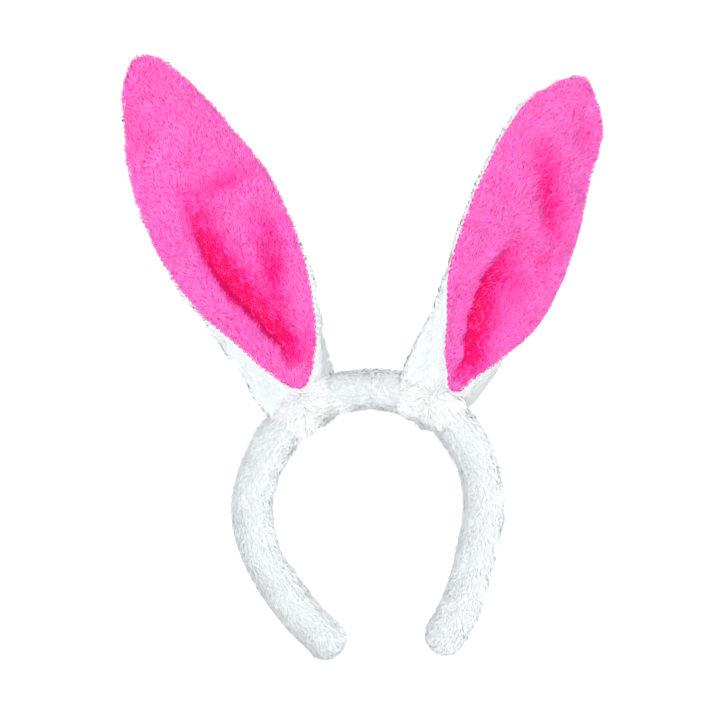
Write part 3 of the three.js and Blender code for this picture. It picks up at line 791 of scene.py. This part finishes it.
def crease_field(place, x, height):
    """The ear's front: its forward relief, its sideways lap, and how much painted shade a point takes down in
    a crease or dimple, 0 to 1.
    """
    relief = np.zeros_like(x)
    lap = np.zeros_like(x)
    crease_painted_shade = np.zeros_like(x)
    for crease in CREASES[place]:
        line = np.array(crease["line"], float)
        centre = np.interp(height, line[:, 1], line[:, 0])
        depth = np.interp(height, line[:, 1], crease["depths"], left=0, right=0)
        off = x - centre
        flank = np.where(off < 0, crease["left"], crease["right"])
        hollow = np.exp(-((off / flank) ** 2))
        relief -= depth * hollow
        share = depth / max(crease["depths"])
        ridge = np.exp(-(((off + 2.6 * crease["left"]) / (2.2 * crease["left"])) ** 2))
        relief += crease["lift"] * share * ridge
        lap += crease["lap"] * share * np.exp(-(((off + crease["left"]) / (1.2 * crease["left"])) ** 2))
        # Painted shade: the pile's colour deepens towards the bottom of each crease, where shade falls.
        crease_painted_shade = np.maximum(crease_painted_shade, depth / FULL_SHADE_DEPTH * np.exp(-((off / (1.25 * flank)) ** 2)))
    for (at_x, at_height), depth, half_width, half_height in DIMPLES[place]:
        bowl = np.exp(-(((x - at_x) / half_width) ** 2) - ((height - at_height) / half_height) ** 2)
        relief -= depth * bowl
        # Painted shade in the dimples as well.
        crease_painted_shade = np.maximum(crease_painted_shade, 0.28 * depth / 2.4 * bowl)
    return relief, lap, crease_painted_shade


SKIRT_ROWS = 7
SKIRT_REACH = 32  # along the band to each side of the root
SKIRT_WRAP = 24  # degrees that the skirt goes on round the band


def skirt(ear, edge):
    """Rows of points that draw the back panel's lower edge in to the band and lay it round the wrap."""
    side = EAR_SIDES[ear.place]
    distances = side * ROOTS[ear.place] + np.arange(-SKIRT_REACH, SKIRT_REACH + 0.5, 0.5)
    centres, normals, _ = station_arrays(signed_station(d) for d in distances)
    nearest = nearest_station(edge, centres)
    centre, normal = centres[nearest], normals[nearest]
    off = edge - centre
    reach = np.hypot((off * normal).sum(axis=1), off[:, 1])
    turn = np.arctan2(off[:, 1], (off * normal).sum(axis=1))
    along = off - normal * (off * normal).sum(axis=1)[:, None] - BACK * off[:, 1:2]
    result = []
    for k in range(1, SKIRT_ROWS + 1):
        t = k / SKIRT_ROWS
        radius = reach + (WRAP_RADIUS - 1.0 - reach) * smoothstep(t, 0, 0.8)
        angle = turn + np.sign(turn) * np.radians(SKIRT_WRAP) * t
        result.append(centre + along * (1 - t) + radius[:, None] * round_band(normal, angle))
    return np.array(result)


PANEL_FROM = 11.6  # the height at which the fine panels start, a little below the CAD's
SIMULATED_ROWS = 56
TIP_ROUNDING = 1.6  # how far the closed tip stands above the last row


def make_ear(place):
    ear = Ear(place)
    low, high = PANEL_FROM, ear.tip
    face_moved, shell_moved = puff(ear, np.linspace(low, high, SIMULATED_ROWS))
    rows, face_columns, shell_columns = 112, 56, 70
    heights = np.linspace(low, high, rows)
    # The swelling leans sideways, and more so on the ear that is turned further round.
    lean = np.stack([ear.x, ear.y, ear.z]).T

    face = ear.face_grid(heights, face_columns) + finer(face_moved, rows, face_columns) @ lean
    relief, lap, _ = crease_field(place, face[..., 0], face[..., 2])
    edge = np.sin(np.pi * np.linspace(0, 1, face_columns))[None, :]
    ends = np.clip((heights - low) / 8, 0, 1)[:, None] * np.clip((high - heights) / 10, 0, 1)[:, None]
    calm = np.minimum(1, edge * 3) * ends
    face[..., 1] -= relief * calm
    face[..., 0] += lap * calm
    points = ear.world(face)
    points -= ear.y * ((0.5 * wobble(points, 24, 31) + 0.35 * wobble(points, 11, 32)) * calm)[..., None]
    # Both ends close to a point.
    points[0] = points[0].mean(axis=0)
    points[-1] = points[-1].mean(axis=0) + ear.z * TIP_ROUNDING
    front = new_object(f"{place}_ear_face", points.reshape(-1, 3), grid_faces(rows, face_columns))
    face_away(front, ear.root + ear.z * FOLD_AT + ear.y * 40)
    subdivide(weld(front))

    shell = ear.shell_grid(heights, shell_columns)
    held = np.minimum(1, 2.5 * np.sin(np.pi * np.linspace(0, 1, shell_columns)))[None, :, None]
    moved = finer(shell_moved, rows, shell_columns) @ lean * held
    moved[..., 1] = np.maximum(moved[..., 1], 0)  # it never swells forward past the seam
    shell += moved
    points = ear.world(shell)
    middle = ear.world(np.stack([np.zeros(rows), np.full(rows, 0.5), heights], -1))
    away = unit(points - middle[:, None])
    share = np.linspace(0, 1, shell_columns)
    calm = np.minimum(1, np.sin(np.pi * share) * 4)[None, :]
    gathers = 0.8 * np.sin(share * 34)[None, :] * (1 - smoothstep(heights, 16, 44))[:, None]
    lumps = 0.5 * wobble(points, 34, 41) + 0.25 * wobble(points, 13, 42)
    points += away * ((lumps + gathers) * calm)[..., None]
    points[-1] = points[-1].mean(axis=0) + ear.z * TIP_ROUNDING
    points = np.concatenate([skirt(ear, points[0])[::-1], points])
    back = new_object(f"{place}_ear_shell", points.reshape(-1, 3), grid_faces(len(points), shell_columns))
    face_away(back, ear.root + ear.z * FOLD_AT)
    subdivide(weld(back))
    return ear, front, back


def ridge_length(ear, points):
    """The pile is longer on the ear's soft ridges."""
    local = ear.local(points)
    longer = np.ones(len(points))
    for (x, height), extra, half_width, half_height in RIDGES[ear.place]:
        bump = -(((local[:, 0] - x) / half_width) ** 2) - ((local[:, 2] - height) / half_height) ** 2
        longer += extra * np.exp(bump)
    return longer


def pink_painted_shade_level(ear, points):
    """The front's pile takes deeper pink shades down in its creases and dimples, as painted shade."""
    local = ear.local(points)
    _, _, deep = crease_field(ear.place, local[:, 0], local[:, 2])
    return 0.74 - 1.2 * deep


def face_flow(ear, points):
    """Up the ear, and outwards at its edges."""
    local = ear.local(points)
    seam_left, seam_right = ear.pattern(local[:, 2])[:, :2].T
    out = (2 * local[:, 0] - seam_left - seam_right) / (seam_right - seam_left)
    edge = np.sign(out) * smoothstep(np.abs(out), 0.72, 1)
    return ear.z * 0.9 + 0.3 * edge[:, None] * ear.x


def shell_flow(ear, points):
    """Up the ear, but away from the seam where a wide strip of the back wraps round to it."""
    local = ear.local(points)
    seam_left, seam_right, body_left, body_right = ear.pattern(local[:, 2]).T
    right_of_middle = np.sign(2 * local[:, 0] - seam_left - seam_right)
    strip = np.where(right_of_middle > 0, body_right - seam_right, seam_left - body_left)
    to_seam = np.minimum(np.abs(local[:, 0] - seam_left), np.abs(local[:, 0] - seam_right))
    near = (1 - smoothstep(to_seam, 1, 7)) * (local[:, 1] < 2) * np.clip(strip / 3, 0, 1)
    return ear.z * (0.9 - 1.2 * near)[:, None] + ear.x * (right_of_middle * near)[:, None]


def ear_blend(piece):
    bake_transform(piece)


EDGE_THREAD = 0.28
EDGE_STITCH_EVERY = 3.2
BINDING_THREAD = 0.34


def edge_stitches(name, ear):
    """Small stitches all round the seam between the front and the back."""
    routes = []
    for column, out in ((0, -1), (-1, 1)):
        for height in np.arange(EAR_BASE, ear.tip - 1, EDGE_STITCH_EVERY):
            span = ear.face_grid(np.linspace(height - 1, height + 1, 5), 3)[:, column]
            span[:, 1] -= 0.5
            span[:, 0] += out * 0.7 * np.cos(np.linspace(-1.3, 1.3, 5))
            routes.append(ear.world(span))
    return rods(name, routes, EDGE_THREAD)


def wrap_radius(turns):
    """The wrap is thinnest on the band's inner side."""
    return WRAP_INNER_RADIUS + (WRAP_RADIUS - WRAP_INNER_RADIUS) * smoothstep(np.cos(turns), -1, 0.3)


def make_wrap(name, ear, side):
    """The plush wrapped round the band at the ear's root. It widens and rises towards the ear."""
    root = side * ROOTS[ear.place]
    turns = np.linspace(0, 2 * np.pi, 64, endpoint=False)
    lengths = np.linspace(-1, 1, 27)
    up = np.maximum(0, np.cos(turns))
    rings = []
    for u in lengths:
        half = WRAP_HALF_LENGTH + WRAP_SPREAD * up**2
        profile = (1 - abs(u) ** 2.4) ** 0.9
        centre, normal, _ = station_arrays(signed_station(root + u * h) for h in half)
        rim = CINCHED_RADIUS - 0.6  # its edges dive into the sleeve
        reach = rim + (wrap_radius(turns) + WRAP_RISE * up**2 - rim) * profile
        pinch = -0.6 * math.exp(-((u / 0.12) ** 2)) * (1 - up)
        pleats = 0.15 * np.sin(11 * turns + 3 * u) * profile
        rings.append(centre + (reach + pinch + pleats)[:, None] * round_band(normal, turns))
    points = np.array(rings)
    points += unit(points - ear.root) * (0.4 * wobble(points, 12, 51))[..., None]
    faces = grid_faces(len(lengths), len(turns), closed=True)
    piece = new_object(name, points.reshape(-1, 3), faces)
    face_away(piece, ear.root)
    return subdivide(piece)


def wrap_flow(ear, side):
    """The wrap's pile lies along the band, away from the ear, and a little downwards."""
    centre, normal, tangent = signed_station(side * ROOTS[ear.place])

    def flow(points):
        along = (points - centre) @ tangent
        return tangent * np.clip(along / 9, -1, 1)[:, None] - normal * 0.35

    return flow


def make_binding(name, ear, side):
    """Two turns of thread bound round the wrap's middle."""
    routes = []
    centre, normal, tangent = signed_station(side * ROOTS[ear.place])
    for shift in (-0.45, 0.45):
        for k in range(8):
            # Each turn is made of short lengths that overlap a little.
            span = np.linspace(k * math.pi / 4 - 0.05, (k + 1) * math.pi / 4 + 0.05, 9)
            radius = wrap_radius(span) - 0.3 + 1.2 * np.maximum(0, np.cos(span)) ** 2
            routes.append(centre + radius[:, None] * round_band(normal, span) + tangent * shift)
    return rods(name, routes, BINDING_THREAD)


# ------------------------ assembly


def finish_piece(piece, material=None):
    if material is not None:
        piece.data.materials.clear()
        piece.data.materials.append(material)
    return piece


DENSITY = 1.0
SLEEVE_STRANDS = int(19500 * DENSITY)
EAR_STRANDS = int(19500 * DENSITY)  # on each ear's front, and as many on its back
WRAP_STRANDS = int(6500 * DENSITY)
SLEEVE_PILE = 4  # length of the strands
EAR_PILE = 3.1
WRAP_PILE = 6


def build_band():
    for place, side in EAR_SIDES.items():
        sleeve = finish_piece(make_sleeve(f"sleeve_{place}", side), WHITE_CLOTH)
        fuzz = pile(
            f"sleeve_pile_{place}", sleeve, SLEEVE_STRANDS, SLEEVE_PILE, WHITE_PILE, seed=100 + side,
            flow=band_flow(side), bare_at=seam_bare(side), rise=0.36,
        )
        finish_piece(fuzz)
        stitches = finish_piece(seam_stitches(f"sleeve_seam_{place}", side), WHITE_THREAD)
        start, end = flex_ends(side)
        for piece in (sleeve, fuzz, stitches):
            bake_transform(piece)
        star = finish_piece(end_stitches(f"end_gather_{place}", side), WHITE_THREAD)
        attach(star, f"{place}_arm")
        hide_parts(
            "band_sleeve_crown", f"band_sleeve_{place}_arm", "band_wadding_crown",
            f"band_wadding_{place}_arm",
        )
        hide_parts(f"sleeve_seam_thread_{place}_arm", "sleeve_seam_thread_crown")
        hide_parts(f"end_stitches_{place}")


def build_ears():
    for place, side in EAR_SIDES.items():
        ear, face, shell = make_ear(place)
        finish_piece(face, PINK_CLOTH)
        finish_piece(shell, WHITE_CLOTH)

        face_pile = pile(
            f"{place}_ear_face_pile", face, EAR_STRANDS, EAR_PILE, PINK_PILE, seed=200 + side,
            flow=lambda points: face_flow(ear, points), shade_at=lambda points: pink_painted_shade_level(ear, points),
            longer_at=lambda points: ridge_length(ear, points), rise=0.45,
        )
        shell_pile = pile(
            f"{place}_ear_shell_pile", shell, EAR_STRANDS, EAR_PILE, WHITE_PILE, seed=300 + side,
            flow=lambda points: shell_flow(ear, points), rise=0.3, swirl=0.25,
        )
        wrap = finish_piece(make_wrap(f"{place}_ear_wrap", ear, side), WHITE_CLOTH)
        # The wrap's pile takes the lightest white shade as painted light, making up for the shade its
        # standing strands cast on one another.
        wrap_pile = pile(
            f"{place}_ear_wrap_pile", wrap, WRAP_STRANDS, WRAP_PILE, WHITE_PILE, seed=400 + side,
            flow=wrap_flow(ear, side), shade_at=lambda points: np.full(len(points), 1.0), rise=0.32,
            swirl=0.3,
        )
        stitches = finish_piece(edge_stitches(f"{place}_ear_edge_stitches", ear), PINK_THREAD)
        binding = finish_piece(make_binding(f"{place}_ear_binding", ear, side), WHITE_THREAD)
        thicken(face, BACKING_THICKNESS)
        thicken(shell, BACKING_THICKNESS)
        finish_piece(face_pile)
        finish_piece(shell_pile)
        finish_piece(wrap_pile)
        for piece in (face, shell, face_pile, shell_pile, stitches):
            ear_blend(piece)
        for piece in (wrap, wrap_pile, binding):
            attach(piece, f"{place}_ear")
        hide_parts(f"{place}_ear_front_lower", f"{place}_ear_front_upper")
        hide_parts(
            f"{place}_ear_back_lower", f"{place}_ear_back_upper", f"{place}_ear_filling_lower",
            f"{place}_ear_filling_upper",
        )
        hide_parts(f"{place}_ear_edge_thread_lower", f"{place}_ear_edge_thread_upper")
        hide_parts(f"{place}_ear_collar")
        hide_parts(f"{place}_ear_binding_thread")


def finish_nodes():
    """The hidden band core and the ears' wires keep their CAD shapes."""
    for name, node in frame["nodes"].items():
        for part_of_name, material in (("band_core", CORE_PLASTIC), ("_wire_", WIRE_STEEL)):
            if part_of_name in name:
                node.data.materials.clear()
                node.data.materials.append(material)


# ------------------------ stage, light and camera

# In metres.
VIEW_CENTRE = (-0.0066, 0, 0.0282)
VIEW_WIDTH = 0.432
VIEW_DISTANCE = 1.6
FLOOR_DROP = 0.03  # below the arms' ends
FLOOR_HALF = 12
WORLD_LIGHT = 1.05
LAMPS = (  # name, place, diameter and watts
    ("key", (-0.8, -1.5, 1.1), 1.0, 3.5),
    ("fill", (1.0, -1.4, 0.1), 1.2, 4.8),
    ("low", (0.0, -1.2, -0.14), 0.8, 5.5),
    ("rim", (0.3, 1.5, 1.1), 1.2, 8),
    ("left_side", (-1.7, 0.2, 0.1), 1.2, 6),
    ("right_side", (1.7, 0.2, 0.1), 1.2, 6),
)


def build_floor():
    z = cad_box[0][2] - FLOOR_DROP
    mesh = bpy.data.meshes.new("floor")
    corners = [(x * FLOOR_HALF, y * FLOOR_HALF, z) for x, y in ((-1, -1), (1, -1), (1, 1), (-1, 1))]
    mesh.from_pydata(corners, [], [(0, 1, 2, 3)])
    floor = bpy.data.objects.new("floor", mesh)
    bpy.context.scene.collection.objects.link(floor)
    floor.data.materials.append(STAGE)


def build_lights():
    scene = bpy.context.scene
    world = bpy.data.worlds.new("studio")
    world.use_nodes = True
    world.node_tree.nodes["Background"].inputs["Color"].default_value = (1, 1, 1, 1)
    world.node_tree.nodes["Background"].inputs["Strength"].default_value = WORLD_LIGHT
    scene.world = world
    scene.view_settings.view_transform = "Standard"
    for name, place, size, power in LAMPS:
        lamp = bpy.data.lights.new(name, "AREA")
        lamp.shape = "DISK"
        lamp.size = size
        lamp.energy = power
        obj = bpy.data.objects.new(name, lamp)
        obj.location = place
        obj.rotation_euler = (Vector(VIEW_CENTRE) - Vector(place)).to_track_quat("-Z", "Y").to_euler()
        scene.collection.objects.link(obj)


def build_camera():
    scene = bpy.context.scene
    camera = bpy.data.cameras.new("camera")
    camera.lens = camera.sensor_width * VIEW_DISTANCE / VIEW_WIDTH
    camera.clip_end = 100
    obj = bpy.data.objects.new("camera", camera)
    obj.location = (VIEW_CENTRE[0], -VIEW_DISTANCE, VIEW_CENTRE[2])
    obj.rotation_euler = (math.pi / 2, 0, 0)
    scene.collection.objects.link(obj)
    scene.camera = obj


build_floor()
build_lights()
build_camera()
build_band()
build_ears()
finish_nodes()
